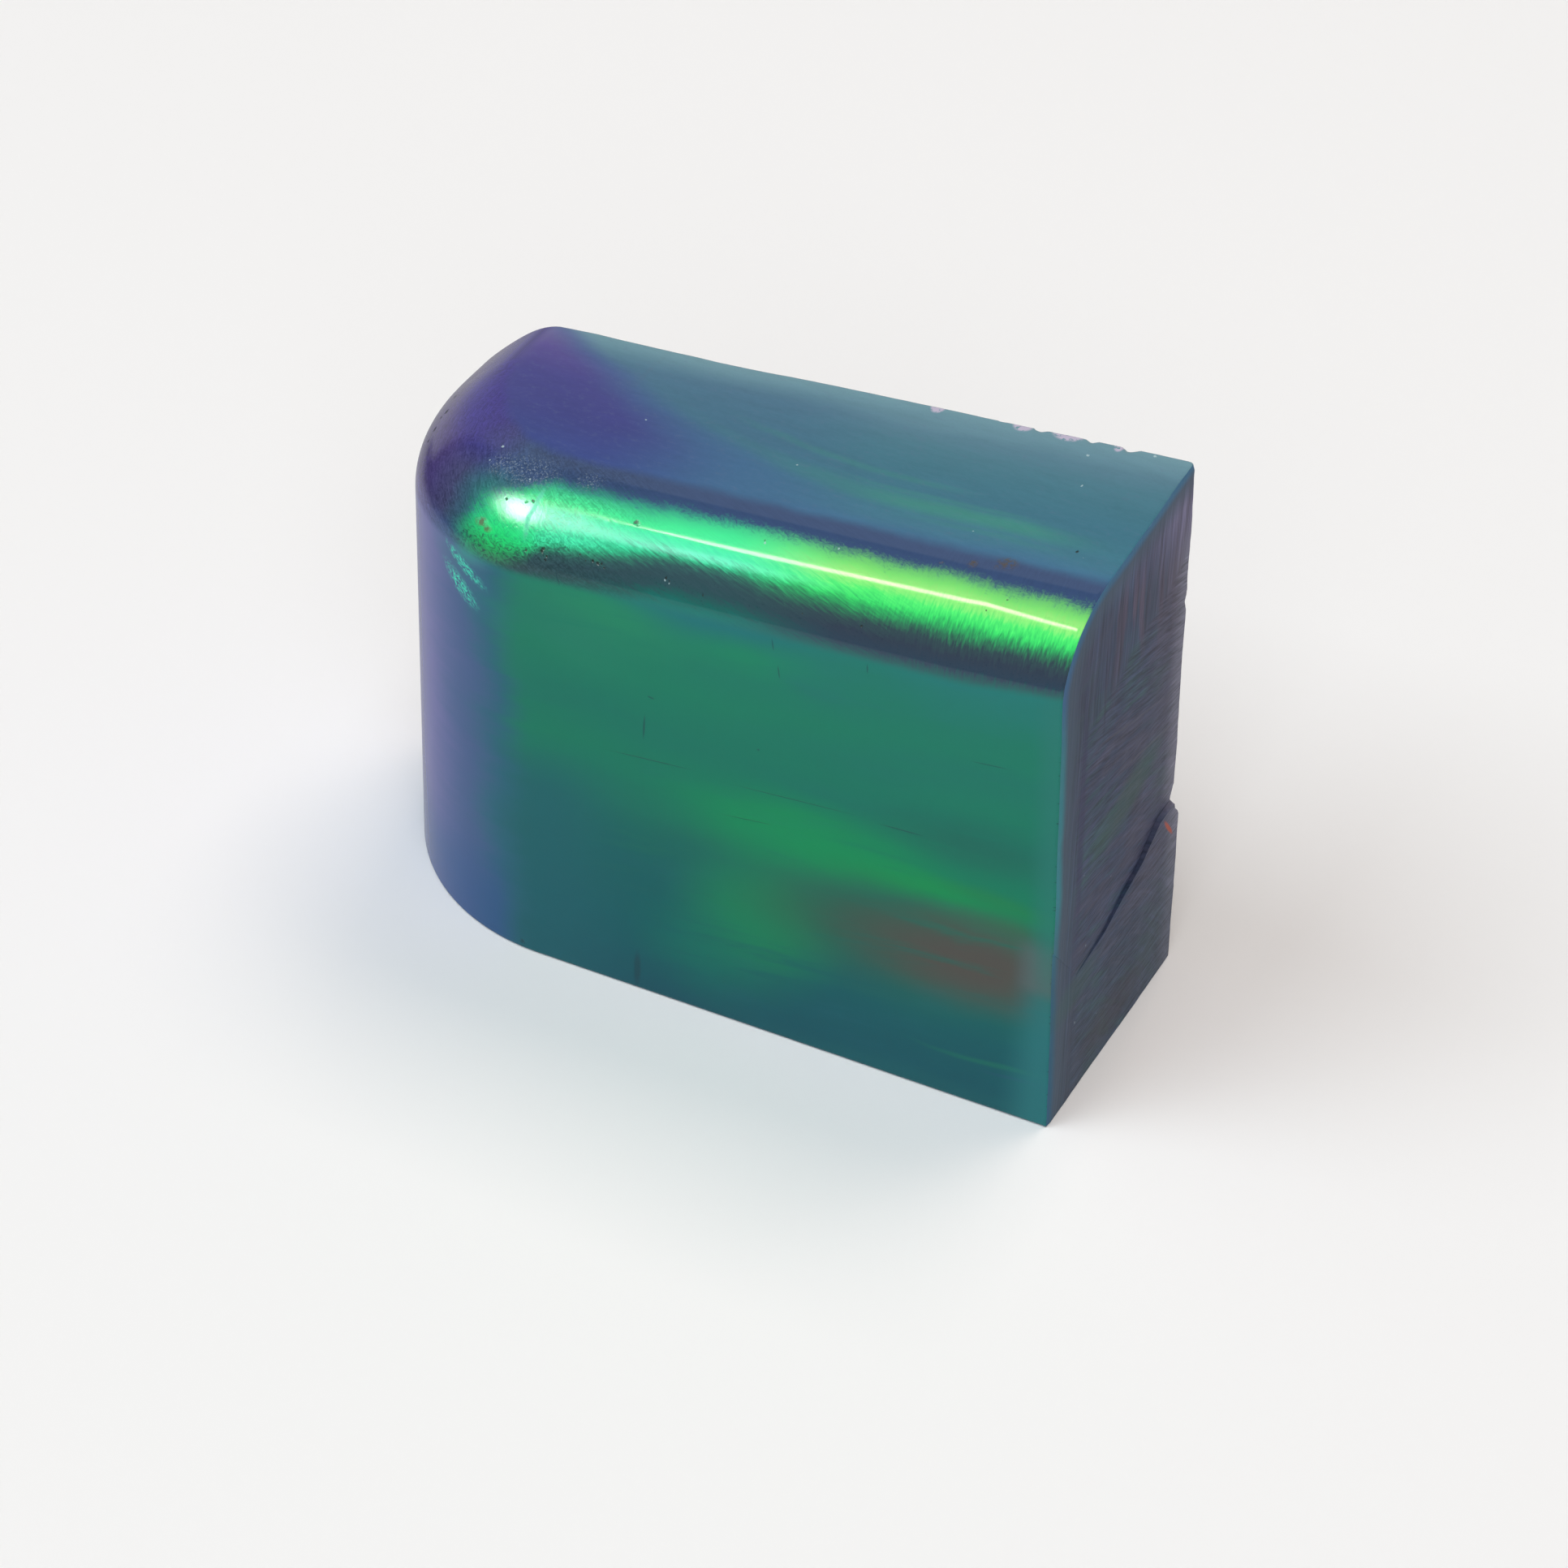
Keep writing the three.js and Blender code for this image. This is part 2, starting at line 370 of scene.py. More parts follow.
class Wire:
    # one output of a material's nodes; maths on it adds nodes

    def __init__(self, tree, socket):
        self.tree = tree
        self.socket = socket

    def node(self, kind, settings, sockets, output=0):
        made = self.tree.nodes.new(kind)
        for name, value in settings.items():
            if name == "stops":
                while len(made.color_ramp.elements) < len(value):
                    made.color_ramp.elements.new(0.5)
                for element, (position, colour) in zip(made.color_ramp.elements, value):
                    element.position = position
                    element.color = (*colour, 1)
            else:
                setattr(made, name, value)
        for key, value in sockets.items():
            if isinstance(value, Wire):
                self.tree.links.new(value.socket, made.inputs[key])
            else:
                made.inputs[key].default_value = value
        return Wire(self.tree, made.outputs[output])

    def output(self, index):
        # another output of the same node
        return Wire(self.tree, self.socket.node.outputs[index])

    def maths(self, operation, *values):
        return self.node("ShaderNodeMath", {"operation": operation}, dict(enumerate(values)))

    def vectors(self, operation, *values, output=0):
        return self.node("ShaderNodeVectorMath", {"operation": operation}, dict(enumerate(values)), output)

    def __add__(self, other):
        return self.maths("ADD", self, other)

    __radd__ = __add__

    def __sub__(self, other):
        return self.maths("SUBTRACT", self, other)

    def __rsub__(self, other):
        return self.maths("SUBTRACT", other, self)

    def __mul__(self, other):
        return self.maths("MULTIPLY", self, other)

    __rmul__ = __mul__

    def __pow__(self, other):
        return self.maths("POWER", self, other)

    def __abs__(self):
        return self.maths("ABSOLUTE", self)

    def most(self, other):
        return self.maths("MAXIMUM", self, other)

    def least(self, other):
        return self.maths("MINIMUM", self, other)

    def rise(self, low, high):
        # 0 up to low, 1 from high on, smooth between; low may be the larger
        return self.node("ShaderNodeMapRange", {"interpolation_type": "SMOOTHSTEP"},
                         {"Value": self, "From Min": low, "From Max": high})

    def ramp(self, *stops):
        # colours at given values of this number, even between them
        low, high = stops[0][0], stops[-1][0]
        share = self.node("ShaderNodeMapRange", {}, {"Value": self, "From Min": low, "From Max": high})
        placed = [((at - low) / (high - low), colour) for at, colour in stops]
        return self.node("ShaderNodeValToRGB", {"stops": placed}, {"Fac": share})

    def mixed(self, mask, colour):
        # this colour, turned into another where the mask is 1
        paint = colour if isinstance(colour, Wire) else (*colour, 1)
        return self.node("ShaderNodeMix", {"data_type": "RGBA"}, {"Factor": mask, 6: self, 7: paint}, 2)

    def under(self, *layers):
        # this colour with others laid over it, each with the mask that comes first
        covered = self
        for mask, colour in layers:
            covered = covered.mixed(mask, colour)
        return covered

    def lit(self, gain):
        # this colour, brighter or darker by a number that varies over the surface
        return self.node("ShaderNodeVectorMath", {"operation": "SCALE"}, {0: self, "Scale": gain})

    def joined(self, second, third=0.0):
        return self.node("ShaderNodeCombineXYZ", {}, {0: self, 1: second, 2: third})

    def placed(self, at=(0, 0, 0), size=(1, 1, 1), turned=(0, 0, 0)):
        # the place as seen from a spot with its own size and turn
        angles = [math.radians(degrees) for degrees in turned]
        return self.node("ShaderNodeMapping", {"vector_type": "TEXTURE"},
                         {"Vector": self, "Location": at, "Rotation": angles, "Scale": size})

    def spot(self, at, size, turned=(0, 0, 0), soft=0.5):
        # a soft patch in the stone: 1 inside, 0 outside
        seen = self.placed(at, size, turned)
        far = seen.vectors("LENGTH", seen, output=1)
        return far.rise(1 + soft, 1 - soft)

    def speck(self, at, radius):
        far = self.vectors("DISTANCE", self, at, output=1)
        return far.rise(radius * 1.25, radius * 0.55)

    def clouds(self, stretch, turned=(0, 0, 0), detail=2.0, rough=0.5, swirl=0.0):
        # soft noise whose blots are as long, in millimetres, as stretch says
        seen = self.placed(size=stretch, turned=turned)
        return seen.node("ShaderNodeTexNoise", {}, {"Vector": seen, "Scale": 1.0, "Detail": detail,
                                                    "Roughness": rough, "Distortion": swirl})

    def moved(self, by, amount):
        # this place, pushed about by another output
        return self.vectors("MULTIPLY_ADD", by, (amount, amount, amount), self)

    def bumped(self, depth, strength=1.0):
        # a normal from this height; depth in millimetres
        return self.node("ShaderNodeBump", {}, {"Strength": strength, "Distance": depth * mm, "Height": self})


def newFinish(name):
    material = bpy.data.materials.new(name)
    material.use_nodes = True
    tree = material.node_tree
    tree.nodes.clear()
    output = tree.nodes.new("ShaderNodeOutputMaterial")
    shader = tree.nodes.new("ShaderNodeBsdfPrincipled")
    tree.links.new(shader.outputs[0], output.inputs[0])
    start = Wire(tree, None)
    metres = start.node("ShaderNodeTexCoord", {}, {}, 3)
    place = start.node("ShaderNodeVectorMath", {"operation": "SCALE"}, {0: metres, "Scale": 1 / mm})
    return material, shader, place


def anyOf(masks):
    # 1 where at least one of the masks is
    joined, *others = masks
    for mask in others:
        joined = joined.most(mask)
    return joined


def attribute(wire, name):
    return wire.node("ShaderNodeAttribute", {"attribute_name": name}, {}, 2)


def feed(wire, shader, name):
    wire.tree.links.new(wire.socket, shader.inputs[name])


skin = {
    "roughness": 0.07,
    "ior": 1.38,
    "rimWidth": 0.082,  # millimetres over the rim to the degree
    "cornerWidth": 0.15,  # millimetres round the corner to the degree
    # colours up the polished face, by height
    "front": (
        (0.0, (0.004, 0.098, 0.132)), (4.0, (0.003, 0.122, 0.138)), (7.0, (0.007, 0.15, 0.126)),
        (10.5, (0.008, 0.185, 0.122)), (13.0, (0.003, 0.235, 0.122)), (16.0, (0.006, 0.2, 0.138)),
        (19.0, (0.007, 0.23, 0.136)), (22.0, (0.01, 0.222, 0.15)), (25.0, (0.016, 0.222, 0.2)),
    ),
    # patches in the polished face: along, height, half length, half height, tilt, softness, strength, colour
    "frontPatches": (
        (20.6, 6.6, 3.6, 4.2, 20, 0.85, 0.7, (0.0, 0.122, 0.138)),
        (22.5, 12.6, 3.6, 1.8, 6, 0.9, 0.5, (0.006, 0.2, 0.135)),
        (17.4, 24.0, 4.2, 1.3, 5, 0.8, 0.7, (0.014, 0.185, 0.225)),
        (5.0, 19.2, 8.0, 1.0, 7, 0.9, 0.35, (0.012, 0.17, 0.165)),
        (22.6, 22.2, 3.4, 1.3, -8, 0.85, 0.8, (0.014, 0.285, 0.14)),
        (24.2, 20.4, 2.2, 1.5, -20, 0.85, 0.6, (0.014, 0.245, 0.15)),
        (15.4, 22.1, 2.6, 0.8, 5, 0.9, 0.8, (0.008, 0.275, 0.14)),
        (17.5, 16.3, 5.0, 1.6, 8, 0.9, 0.3, (0.006, 0.215, 0.132)),
        (4.2, 15.6, 3.6, 1.2, 4, 0.9, 0.75, (0.01, 0.158, 0.118)),
        (7.0, 12.1, 4.4, 0.8, -1, 0.8, 0.95, (0.004, 0.31, 0.092)),
        (2.6, 12.6, 2.6, 0.5, -1, 0.9, 0.6, (0.012, 0.25, 0.085)),
        (12.4, 12.8, 5.0, 1.7, 3, 0.8, 0.9, (0.002, 0.305, 0.108)),
        (21.5, 12.0, 3.5, 1.0, 6, 0.9, 0.5, (0.006, 0.2, 0.13)),
        (14.6, 6.9, 3.0, 3.6, -25, 0.75, 0.95, (0.004, 0.245, 0.11)),
        (17.8, 3.8, 2.6, 2.2, -30, 0.8, 0.6, (0.0, 0.19, 0.135)),
        # the next three patches, olive and brown, are painted reflection: a warm object in front of the stone
        # and its shadow, mirrored in the polished face
        (9.2, 8.4, 4.4, 2.4, 0, 0.85, 0.75, (0.036, 0.115, 0.082)),
        (2.2, 11.2, 2.2, 0.6, 4, 0.9, 0.5, (0.05, 0.14, 0.08)),
        (3.9, 8.5, 5.0, 2.0, 3, 0.75, 1.0, (0.094, 0.09, 0.08)),
        (10.0, 1.8, 6.0, 1.9, 0, 0.8, 0.3, (0.002, 0.108, 0.145)),
        (5.0, 0.5, 9.0, 0.5, 0, 0.9, 0.5, (0.008, 0.14, 0.15)),
        (3.0, 2.9, 2.9, 0.17, 3, 0.7, 0.5, (0.01, 0.2, 0.125)),
        (1.3, 2.35, 1.7, 0.12, 3, 0.7, 0.35, (0.02, 0.09, 0.19)),
    ),
    # fine marks in the polished face: two ends as along and height, and the half width
    "scratches": (
        ((14.07, 23.8), (14.0, 23.2), 0.035), ((13.78, 22.35), (13.7, 21.7), 0.035),
        ((20.5, 16.9), (20.58, 15.6), 0.05), ((20.33, 18.15), (20.0, 18.1), 0.05),
        ((22.1, 14.2), (18.4, 14.6), 0.03), ((15.65, 14.6), (10.4, 15.1), 0.025),
        ((8.6, 15.1), (6.7, 15.22), 0.035), ((14.8, 17.15), (14.73, 17.08), 0.06),
        ((21.1, 2.2), (21.17, 0.3), 0.17), ((27.3, 0.55), (27.2, 0.3), 0.12),
        ((9.4, 24.1), (9.4, 23.6), 0.03), ((24.9, 23.6), (24.7, 23.0), 0.03),
        ((16.4, 12.6), (14.2, 12.9), 0.02), ((4.2, 20.5), (2.6, 20.7), 0.025),
    ),
    # dark pits round the rim: place and radius
    "pits": (
        ((-7.46, -6.15, 24.39), 0.11), ((-7.49, -6.22, 24.27), 0.09), ((-7.21, -6.30, 24.11), 0.07),
        ((-7.26, -6.35, 23.97), 0.06), ((-8.29, -6.27, 24.07), 0.05), ((-4.95, -6.17, 24.60), 0.07),
        ((-4.70, -6.19, 24.58), 0.08), ((-4.51, -6.18, 24.61), 0.06), ((-4.35, -6.24, 24.49), 0.05),
        ((-5.30, -6.20, 24.50), 0.04), ((-5.63, -6.10, 24.66), 0.05), ((-1.30, -6.15, 24.96), 0.06),
        ((-1.10, -6.19, 24.89), 0.05), ((-3.52, -4.73, 26.29), 0.12), ((-3.38, -4.80, 26.26), 0.09),
        ((2.61, -4.26, 27.11), 0.06), ((8.33, -6.17, 25.78), 0.06), ((13.71, -4.90, 27.73), 0.05),
        ((14.41, -4.31, 28.14), 0.05), ((-8.95, -4.91, 25.62), 0.08), ((-8.64, -4.83, 25.73), 0.07),
        ((-9.97, -4.88, 25.39), 0.07), ((0.60, -6.30, 24.80), 0.05), ((5.48, -6.21, 25.46), 0.04),
        ((16.12, -0.82, 28.90), 0.09), ((-16.38, 1.05, 24.01), 0.14), ((-16.52, 0.13, 23.57), 0.13),
        ((-16.59, -0.35, 23.22), 0.1), ((-16.58, 0.89, 23.74), 0.09), ((-16.69, 2.39, 23.84), 0.1),
    ),
    # pale flecks: place and radius
    "flecks": (
        ((-11.49, -2.44, 26.14), 0.075), ((-11.74, -3.17, 25.81), 0.05), ((6.04, -3.85, 27.60), 0.05),
        ((2.68, -4.36, 27.07), 0.05), ((-1.34, -6.21, 24.84), 0.055), ((-1.10, -6.24, 24.79), 0.04),
        ((11.25, -1.07, 28.46), 0.05), ((-6.18, 1.33, 26.91), 0.04), ((1.80, 0.60, 27.65), 0.04),
        ((14.39, 3.39, 28.96), 0.055), ((13.74, 5.43, 28.99), 0.08), ((16.59, 6.32, 29.32), 0.08),
        ((-9.28, -3.93, 26.13), 0.06), ((16.56, -1.11, 28.92), 0.035),
    ),
    # brown specks where dirt sits: place, half size
    "dirt": (
        ((12.16, -3.04, 28.39), (0.2, 0.2, 0.6)), ((13.61, -2.58, 28.59), (0.4, 0.3, 0.6)),
        ((13.31, -2.89, 28.52), (0.22, 0.14, 0.6)), ((10.79, -3.36, 28.19), (0.09, 0.08, 0.1)),
        ((-10.92, -5.55, 24.25), (0.42, 0.16, 0.22)), ((-10.51, -5.76, 24.15), (0.24, 0.12, 0.16)),
    ),
    # milky places along the back edge: along, height, half length
    "milky": ((5.9, 28.8, 0.75), (8.1, 28.6, 0.5), (12.3, 28.2, 0.35), (3.4, 29.1, 0.25)),
    # patches of fine pale scuffing on the top of the rounded end: place, half size
    "frost": (
        ((-9.65, -3.52, 26.23), (1.5, 0.7, 0.6)), ((-10.90, -3.39, 25.99), (0.8, 0.6, 0.5)),
        ((-6.51, -3.45, 26.61), (0.55, 0.45, 0.4)),
    ),
}


def strokeMask(place, first, last, halfWidth):
    # a fine line drawn on the polished face
    (a, low), (b, high) = first, last
    middle = (endX - (a + b) / 2, front, (low + high) / 2)
    half = math.hypot(b - a, high - low) / 2
    tilt = math.degrees(math.atan2(high - low, a - b))
    return place.spot(middle, (half, 3, halfWidth), (0, -tilt, 0), 0.45)


def frontColour(place, along, z, cloud, streak):
    wavy = z + (cloud - 0.5) * 3 + (streak - 0.5) * 1.6
    colour = wavy.ramp(*skin["front"])
    drifting = place.moved(cloud.output(1), 1.6).placed(at=(0.8, 0.8, 0.8))
    streaked = streak.rise(0.1, 0.5)
    # some patches, olive and brown low near the sawn end, are painted reflection of a warm object in front of
    # the stone and its shadow
    for a, up, halfLength, halfHeight, tilt, soft, strength, paint in skin["frontPatches"]:
        mask = drifting.spot((endX - a, front, up), (halfLength, 9, halfHeight), (0, -tilt, 0), soft)
        colour = colour.mixed(mask * strength * streaked, paint)
    return colour.under(
        (along.rise(20, 26) * z.rise(15, 10) * 0.8, (0.009, 0.135, 0.165)),
        ((along + z * 0.07).rise(2.9, 0.8) * z.rise(13, 6) * 0.85, (0.022, 0.2, 0.215)),
        # the greyish patch by the sawn edge, 7.6 to 11.6 mm up, is painted reflection of the same warm object
        (along.rise(2.2, 0.9) * z.rise(7.6, 8.6) * z.rise(11.6, 10.2) * 0.8, (0.115, 0.145, 0.15)),
        (along.rise(1.6, 0.3) * z.rise(5, 12) * 0.6, (0.024, 0.22, 0.19)),
    )


def cornerColour(face, turn, z, cloud, streak):
    # the wall turns blue and then violet round the upright corner; the green near its top, by the bright spot,
    # is painted sheen: the opal's play-of-colour where the lamp's light strikes
    bend = turn + (cloud - 0.5) * 16 + (streak - 0.5) * 8
    glow = turn.rise(4, 13) * turn.rise(29, 20) * (z + turn * 0.1).rise(23.2, 25.5)
    return face.under(
        (bend.rise(1, 15), (0.02, 0.14, 0.21)),
        (bend.rise(10, 25), (0.058, 0.115, 0.265)),
        (bend.rise(22, 46), (0.125, 0.13, 0.35)),
        (z.rise(7, 1.5) * turn.rise(4, 14) * 0.75, (0.028, 0.1, 0.275)),
        (glow * streak.rise(0.2, 0.6), (0.03, 0.4, 0.29)),
    )


def topColour(place, along, depth, cloud, streak):
    # a soft green line sweeps over the top; in front of it the blue turns to violet
    wavy = along + (cloud - 0.5) * 4
    bend = along.maths("MAXIMUM", wavy - 10, 0.0)
    curve = 6.4 + bend * bend * 0.016 + (streak - 0.5) * 0.8
    below = curve - depth
    colour = (depth + (streak - 0.5) * 0.9).ramp(
        (3.6, (0.043, 0.15, 0.28)), (4.4, (0.044, 0.15, 0.265)), (5.0, (0.045, 0.17, 0.25)),
        (6.0, (0.041, 0.172, 0.235)), (7.5, (0.038, 0.157, 0.222)), (9.0, (0.045, 0.167, 0.225)),
        (10.3, (0.06, 0.182, 0.24)), (11.4, (0.085, 0.2, 0.265)), (12.4, (0.125, 0.26, 0.32)),
        (13.2, (0.16, 0.31, 0.36)))
    violet = depth.ramp(
        (4.5, (0.031, 0.058, 0.235)), (7.0, (0.037, 0.045, 0.212)), (9.5, (0.05, 0.05, 0.225)),
        (11.5, (0.085, 0.066, 0.255)), (13.2, (0.17, 0.13, 0.32)))
    glow = abs(below).rise(0.7, 0.05) * along.rise(28, 11) * along.rise(0.3, 5)
    glow = glow * (along.rise(15, 10) * 0.6 + 0.4)
    for offset, width, start, stop in ((0.75, 0.28, 3, 12), (-0.6, 0.25, 5, 16), (-1.5, 0.35, 9, 22)):
        reach = along.rise(start - 2, start + 2) * along.rise(stop, stop - 5)
        glow = glow.most(abs(below - offset).rise(width, 0.03) * reach * 0.4)
    # fine hazy grain, a little warmer in places
    veil = place.clouds((3, 0.5, 3), (0, 0, -5), 4, 0.65)
    grain = place.clouds((0.5, 0.25, 0.5), (0, 0, -12), 4, 0.75)
    return colour.under(
        (wavy.rise(11, 20) * depth.rise(12.8, 11) * 0.55, (0.046, 0.125, 0.228)),
        (below.rise(-0.3, 1.2) * along.rise(10, 19) * 0.9, (0.042, 0.132, 0.262)),
        (below.rise(-0.6, 2.6) * along.rise(17.5, 26), violet),
        (glow * (0.25 + streak) * 0.8, (0.042, 0.27, 0.19)),
        (grain.rise(0.5, 0.75) * 0.25, (0.085, 0.12, 0.2)),
    ).lit(0.78 + veil * 0.22 + grain * 0.22)


def rimColour(angle, along, bright):
    # bands over the rim: dark, bright green, yellow-green on top, and back to blue. The bright green and
    # yellow-green are painted sheen: the opal's play-of-colour where the lamp's light strikes the rim
    near = angle.ramp(
        (2, (0.028, 0.185, 0.165)), (7, (0.036, 0.138, 0.14)), (12, (0.042, 0.074, 0.115)),
        (20, (0.046, 0.066, 0.098)), (27, (0.046, 0.088, 0.098)), (31.5, (0.042, 0.2, 0.11)),
        (35.5, (0.042, 0.43, 0.135)), (40, (0.055, 0.78, 0.165)), (45, (0.095, 0.93, 0.19)),
        (49, (0.25, 0.92, 0.215)), (54, (0.33, 0.88, 0.22)), (58.5, (0.215, 0.78, 0.18)),
        (64, (0.15, 0.55, 0.18)), (69, (0.12, 0.36, 0.18)), (74.5, (0.075, 0.24, 0.205)),
        (81, (0.05, 0.2, 0.235)), (88, (0.045, 0.16, 0.27)))
    far = angle.ramp(
        (2, (0.022, 0.205, 0.2)), (9, (0.018, 0.215, 0.185)), (15, (0.024, 0.155, 0.135)),
        (21, (0.038, 0.098, 0.112)), (28, (0.042, 0.09, 0.108)), (33, (0.045, 0.12, 0.122)),
        (37, (0.046, 0.24, 0.16)), (40.5, (0.052, 0.6, 0.3)), (43.5, (0.08, 0.88, 0.46)),
        (48, (0.09, 0.94, 0.46)), (53, (0.08, 0.92, 0.36)), (58, (0.07, 0.86, 0.33)),
        (63, (0.065, 0.68, 0.3)), (68, (0.052, 0.42, 0.27)), (74, (0.05, 0.25, 0.25)),
        (81, (0.044, 0.21, 0.29)), (88, (0.04, 0.15, 0.3)))
    bands = near.mixed(along.rise(10.5, 17.5), far)
    # more painted sheen, bright green, towards the corner
    return bands.mixed(bright * angle.rise(30, 40) * angle.rise(62, 52) * 0.85, (0.03, 0.82, 0.27))


def shadedCorner(angle, turn):
    # past the end of the bright band the rim is a deep violet with a teal shadow at its start
    foot = turn.ramp(
        (22, (0.035, 0.16, 0.19)), (32, (0.055, 0.09, 0.23)),
        (45, (0.085, 0.08, 0.25)), (60, (0.14, 0.11, 0.3)))
    low = turn.ramp(
        (22, (0.03, 0.18, 0.17)), (28, (0.042, 0.11, 0.16)),
        (35, (0.06, 0.066, 0.15)), (50, (0.062, 0.045, 0.16)))
    high = turn.ramp(
        (22, (0.05, 0.09, 0.2)), (33, (0.052, 0.056, 0.19)),
        (45, (0.042, 0.034, 0.19)), (60, (0.038, 0.028, 0.2)))
    return foot.mixed(angle.rise(9, 21), low).mixed(angle.rise(45, 66), high)


def rimPatterns(roundRim, rim):
    # what the polish does on the rim laid out flat: how far round it, and how far over it
    sheet = roundRim.joined(rim * skin["rimWidth"])
    upright = sheet.clouds((0.12, 0.7, 1), (0, 0, 0), 2, 0.6, 0.3)
    slanted = sheet.clouds((1.0, 0.13, 1), (0, 0, 24), 3, 0.65, 0.5)
    scales = sheet.clouds((0.3, 0.13, 1), (0, 0, -38), 3, 0.7, 1.5)
    fibre = upright + (slanted - upright) * roundRim.rise(5, 12)
    fibre = fibre + (scales - fibre) * roundRim.rise(21, 26) * 0.7
    waves = sheet.clouds((2.6, 1.4, 1), detail=3)
    swirls = sheet.clouds((0.5, 0.35, 1), (0, 0, 30), 3, 0.7, 2.5)
    hairs = sheet.clouds((1.6, 0.07, 1), (0, 0, 32), 2, 0.6, 0.2)
    return sheet, fibre, waves, swirls, hairs


def rimBands(along, roundRim, rim, turn, paintedLightGain, patterns):
    fibre, waves, swirls, hairs = patterns
    angle = rim + (fibre - 0.5) * (rim.rise(62, 40) * 7 + 7) + (waves - 0.5) * 6
    # towards the corner the bright band of painted sheen widens downwards
    widened = roundRim.rise(22.5, 29.5) * (6 + (swirls - 0.5) * 18) + roundRim.rise(18.5, 24.5) * 9
    angle = angle + widened * rim.rise(46, 33) + roundRim.rise(15, 22) * rim.rise(48, 56) * 4
    bands = rimColour(angle, along, roundRim.rise(25, 28))
    oval = turn + ((rim - 26) * (rim - 26)) * 0.013
    oval = oval + (waves - 0.5) * 10 + (swirls - 0.5) * 16 + (fibre - 0.5) * 8
    bands = bands.mixed(oval.rise(15.5, 27), shadedCorner(rim, turn + (waves - 0.5) * 6))
    # fingerprint-like lines and hairs in the polish
    mottled = (swirls.rise(0.35, 0.65) * 0.36 + 0.72) * (hairs.rise(0.35, 0.62) * 0.24 + 0.86)
    plain = 0.84 + fibre * 0.32
    shading = plain + (mottled - plain) * roundRim.rise(19, 26)
    # painted light: the gain brightens the paint round the corner, and the paint is darker towards the top of
    # the rim as painted shade
    return bands.lit(shading * (paintedLightGain - rim.rise(50, 85) * 0.14))


def cornerGlints(colour, turn, z):
    # broken glints of green below the bright end of the rim
    sheet = (turn * 0.18).joined(z)
    fine = sheet.clouds((0.24, 0.08, 1), (0, 0, 30), 2, 0.8, 0.3).rise(0.5, 0.57)
    glints = sheet.spot((4.0, 21.6, 0), (1.25, 0.3, 1), (0, 0, 22), 0.5)
    glints = glints.most(sheet.spot((4.35, 20.3, 0), (1.1, 0.42, 1), (0, 0, 30), 0.6))
    haze = sheet.spot((4.0, 21.0, 0), (2.2, 1.0, 1), (0, 0, 26), 0.9)
    return colour.under((haze * 0.4, (0.02, 0.2, 0.24)), (glints * fine, (0.06, 0.9, 0.6)))


def brokenEdge(colour, place, depth, grit, broken):
    # fresh breaks along the back edge, milky in four places
    milky = anyOf([place.spot((endX - a, back, up), (half, 0.5, 0.8), soft=0.2)
                   for a, up, half in skin["milky"]])
    return colour.under(
        (broken * 0.5, (0.12, 0.26, 0.3)),
        (milky * depth.rise(12.5, 12.75) * grit.rise(0.35, 0.5), (0.5, 0.45, 0.58)),
    )


